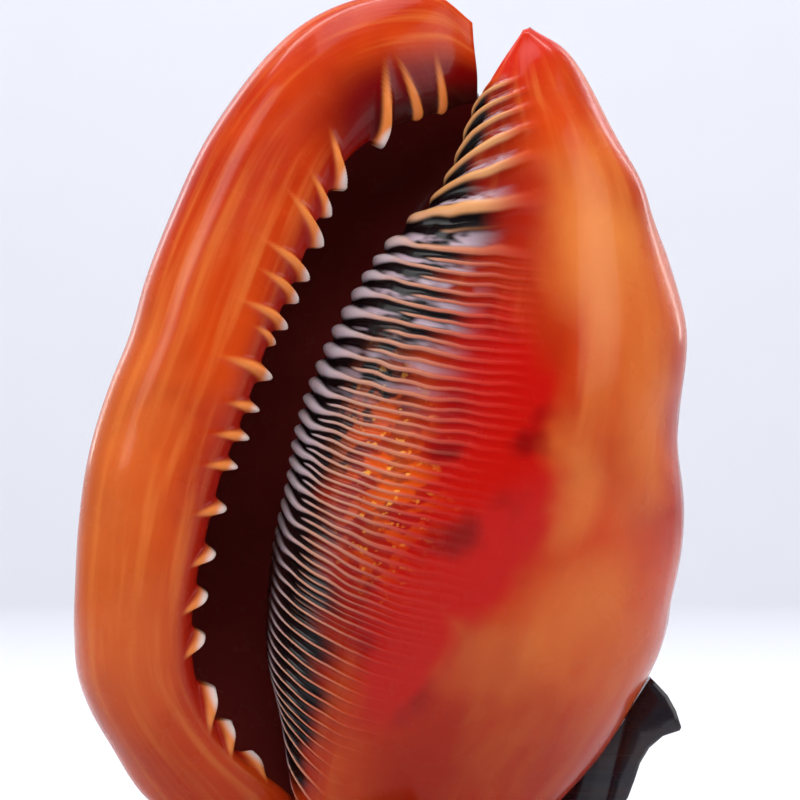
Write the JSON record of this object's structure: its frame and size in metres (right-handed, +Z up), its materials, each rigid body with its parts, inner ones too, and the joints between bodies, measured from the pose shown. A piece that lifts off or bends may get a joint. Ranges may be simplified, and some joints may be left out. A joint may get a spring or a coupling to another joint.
{
  "type": "red helmet shell on a wooden stand",
  "caption": "Red helmet shell standing on its spire, toothed mouth to the front, in a dark cross-lapped wooden stand with hooked arms.",
  "frame": {"origin": "middle of the footprint, on the surface that the stand rests on", "axes": "+Z up, along the shell from its spire to its notched front end; the mouth and the toothed lip face -Y"},
  "size_m": [0.1096, 0.098, 0.1724],
  "materials": {
    "shell_glaze": "natural glossy shell, orange with darker ridges in the mouth",
    "cross_board_wood": "near-black gloss lacquer",
    "fore_aft_board_wood": "near-black gloss lacquer"
  },
  "bodies": {
    "root": {"shell": "shell_glaze", "cross_board": "cross_board_wood", "fore_aft_board": "fore_aft_board_wood"}
  },
  "joints": []
}
